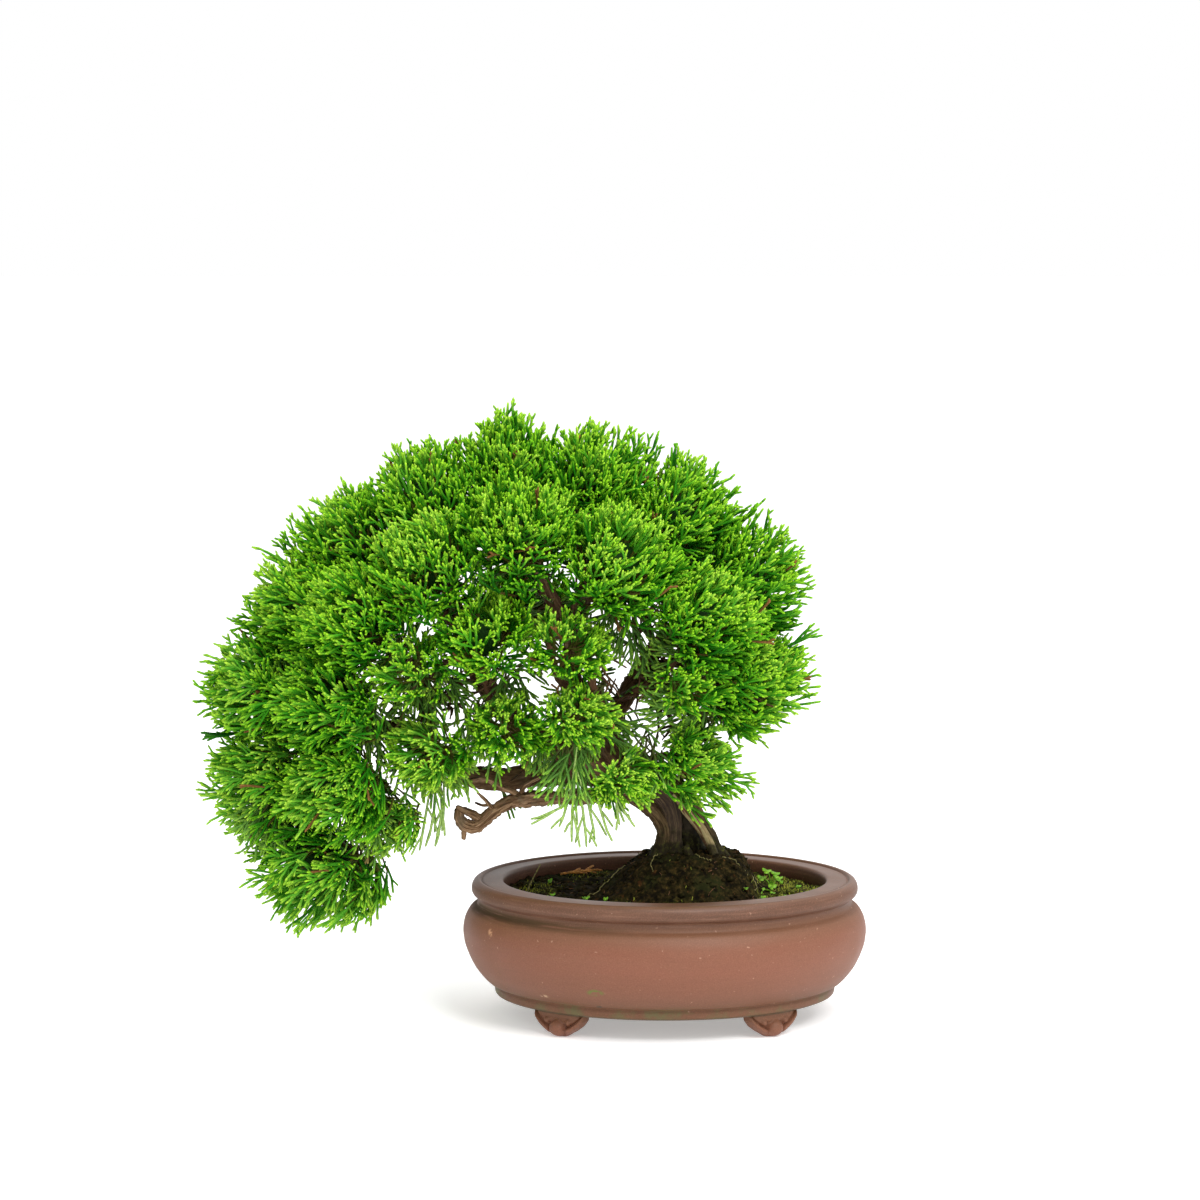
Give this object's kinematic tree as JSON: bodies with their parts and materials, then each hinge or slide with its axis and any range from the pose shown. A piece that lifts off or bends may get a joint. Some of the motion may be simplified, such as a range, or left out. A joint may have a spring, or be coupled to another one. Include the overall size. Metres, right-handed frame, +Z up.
{
  "type": "chinese juniper bonsai",
  "caption": "Potted Chinese juniper bonsai: twisted trunk with a pale dead branch, dense bright green scale foliage leaning to one side, in an oval brown stoneware pot on cloud feet.",
  "frame": {"origin": "on the surface that the pot stands on, under the middle of the whole object's outline seen from above; the pot's own centre lies 67.5 mm towards +X and 8.8 mm towards -Y of it", "axes": "+Z up, +X from the crown's overhang towards the pot's right end, along the pot's long side, +Y from the viewer's side to the back"},
  "size_m": [0.3294, 0.1884, 0.2983],
  "materials": {
    "pot_stoneware": "unglazed, fine grained, matt",
    "drain_mesh_plastic": "matt",
    "soil_mix": "crumbly, damp, mossy",
    "juniper_wood": "stringy bark, matt",
    "juniper_foliage": "scale leaves, soft sheen",
    "sprout_leaf": "smooth leaf",
    "dry_sprig": "dry, matt"
  },
  "bodies": {
    "root": {"pot": "pot_stoneware", "drain_mesh_left": "drain_mesh_plastic", "drain_mesh_right": "drain_mesh_plastic", "soil": "soil_mix", "trunk_and_branches": "juniper_wood", "weed_sprout": "sprout_leaf", "fallen_sprig": "dry_sprig", "foliage_01": "juniper_foliage", "foliage_02": "juniper_foliage", "foliage_03": "juniper_foliage", "foliage_04": "juniper_foliage", "foliage_05": "juniper_foliage", "foliage_06": "juniper_foliage", "foliage_07": "juniper_foliage", "foliage_08": "juniper_foliage", "foliage_09": "juniper_foliage", "foliage_10": "juniper_foliage", "foliage_11": "juniper_foliage", "foliage_12": "juniper_foliage", "foliage_13": "juniper_foliage", "foliage_14": "juniper_foliage", "foliage_15": "juniper_foliage", "foliage_16": "juniper_foliage", "foliage_17": "juniper_foliage", "foliage_18": "juniper_foliage", "foliage_19": "juniper_foliage", "foliage_20": "juniper_foliage", "foliage_21": "juniper_foliage", "foliage_22": "juniper_foliage", "foliage_23": "juniper_foliage", "foliage_24": "juniper_foliage", "foliage_25": "juniper_foliage", "foliage_26": "juniper_foliage", "foliage_27": "juniper_foliage", "foliage_28": "juniper_foliage", "foliage_29": "juniper_foliage", "foliage_30": "juniper_foliage", "foliage_31": "juniper_foliage", "foliage_32": "juniper_foliage", "foliage_33": "juniper_foliage", "foliage_34": "juniper_foliage", "foliage_35": "juniper_foliage", "foliage_36": "juniper_foliage", "foliage_37": "juniper_foliage"}
  },
  "joints": []
}
